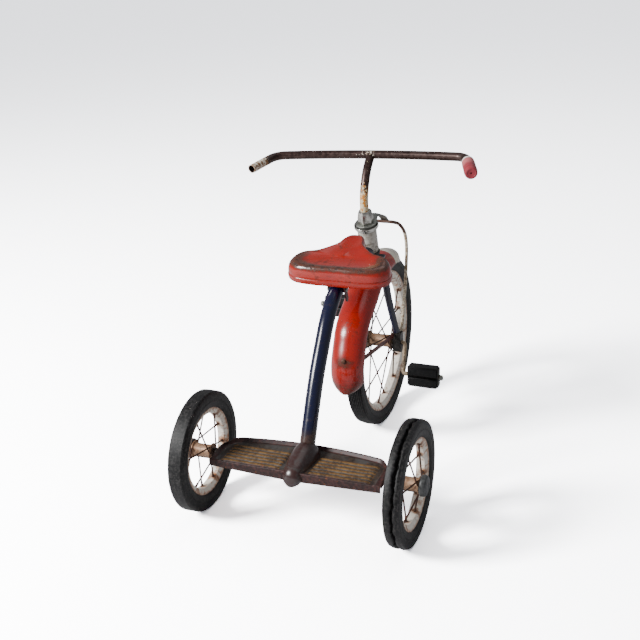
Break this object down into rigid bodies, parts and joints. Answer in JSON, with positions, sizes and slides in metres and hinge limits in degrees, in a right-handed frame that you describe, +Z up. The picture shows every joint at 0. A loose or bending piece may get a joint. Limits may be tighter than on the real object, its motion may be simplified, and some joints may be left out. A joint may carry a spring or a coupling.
{
  "type": "children's tricycle",
  "caption": "Child's pedal tricycle with a single bent frame tube, ridged rear step, pressed steel seat, raked fork with truss rod and fender, and spoked wheels on solid rubber tyres.",
  "frame": {"origin": "on the floor, under the middle of the bounding box, on the plane of symmetry", "axes": "+Z up, +Y forwards towards the front wheel, +X to the rider's right"},
  "size_m": [0.5216, 0.8328, 0.6789],
  "materials": {
    "red_paint": "glossy enamel, worn brown along the crests",
    "navy_paint": "glossy enamel with fine scratches",
    "white_paint": "dull enamel with rust stains and chips",
    "rusty_enamel": "semi-gloss enamel worn through to ochre rust",
    "rusty_steel": "rusted",
    "old_chrome": "pitted plating with flaking patches",
    "bright_steel": "dull zinc",
    "black_iron": "dark, oily",
    "tyre_rubber": "matt, dusty",
    "pedal_rubber": "matt, rubbed",
    "red_grip": "faded, dusty"
  },
  "bodies": {
    "frame": {"frame_tube": "navy_paint", "rear_step": "rusty_enamel", "step_lug": "rusty_enamel", "rear_axle": "rusty_steel", "left_axle_bracket": "rusty_enamel", "right_axle_bracket": "rusty_enamel", "left_axle_spacer": "black_iron", "right_axle_spacer": "black_iron", "seat_pan": "red_paint", "seat_bracket": "rusty_steel", "seat_bolt": "bright_steel", "seat_nut": "bright_steel", "head_tube": "white_paint", "upper_head_cup": "bright_steel", "lower_head_cup": "black_iron"},
    "steering": {"upper_bearing_cone": "bright_steel", "lower_bearing_cone": "black_iron", "steerer": "bright_steel", "lock_nut": "bright_steel", "fork": "navy_paint", "truss_rod": "rusty_steel", "truss_bracket": "bright_steel", "front_fender": "red_paint", "fender_rivet": "rusty_steel", "fender_stay": "rusty_steel", "crossbar": "old_chrome", "handlebar_stem": "old_chrome", "right_grip": "red_grip", "left_axle_bearing": "black_iron", "right_axle_bearing": "black_iron"},
    "front_wheel": {"front_tyre": "tyre_rubber", "front_rim": "white_paint", "front_hub_and_spokes": "rusty_steel", "crank_axle": "white_paint", "left_pedal_nut": "bright_steel", "right_pedal_nut": "bright_steel"},
    "left_pedal": {"left_pedal_sleeve": "rusty_steel", "left_pedal_upper_block": "pedal_rubber", "left_pedal_lower_block": "pedal_rubber", "left_pedal_inner_plate": "black_iron", "left_pedal_outer_plate": "black_iron"},
    "right_pedal": {"right_pedal_sleeve": "rusty_steel", "right_pedal_upper_block": "pedal_rubber", "right_pedal_lower_block": "pedal_rubber", "right_pedal_inner_plate": "black_iron", "right_pedal_outer_plate": "black_iron"},
    "left_rear_wheel": {"left_tyre": "tyre_rubber", "left_rim": "white_paint", "left_hub_and_spokes": "rusty_steel", "left_bush": "bright_steel", "left_hub_cap": "bright_steel"},
    "right_rear_wheel": {"right_tyre": "tyre_rubber", "right_rim": "white_paint", "right_hub_and_spokes": "rusty_steel", "right_bush": "bright_steel", "right_hub_cap": "bright_steel"}
  },
  "joints": [
    {"name": "steering_turn", "type": "hinge", "parent": "frame", "child": "steering", "pos_m": [0, 0.21381, 0.20257], "axis": [0, -0.2723, 0.9622], "range_deg": [-60, 60]},
    {"name": "front_wheel_spin", "type": "hinge", "parent": "steering", "child": "front_wheel", "pos_m": [0, 0.21381, 0.20257], "axis": [1, 0, 0], "continuous": true},
    {"name": "left_pedal_spin", "type": "hinge", "parent": "front_wheel", "child": "left_pedal", "pos_m": [-0.115, 0.23997, 0.27072], "axis": [1, 0, 0], "continuous": true},
    {"name": "right_pedal_spin", "type": "hinge", "parent": "front_wheel", "child": "right_pedal", "pos_m": [0.115, 0.18765, 0.13442], "axis": [1, 0, 0], "continuous": true},
    {"name": "left_rear_wheel_spin", "type": "hinge", "parent": "frame", "child": "left_rear_wheel", "pos_m": [-0.224, -0.29019, 0.1262], "axis": [1, 0, 0], "continuous": true},
    {"name": "right_rear_wheel_spin", "type": "hinge", "parent": "frame", "child": "right_rear_wheel", "pos_m": [0.224, -0.29019, 0.1262], "axis": [1, 0, 0], "continuous": true}
  ]
}
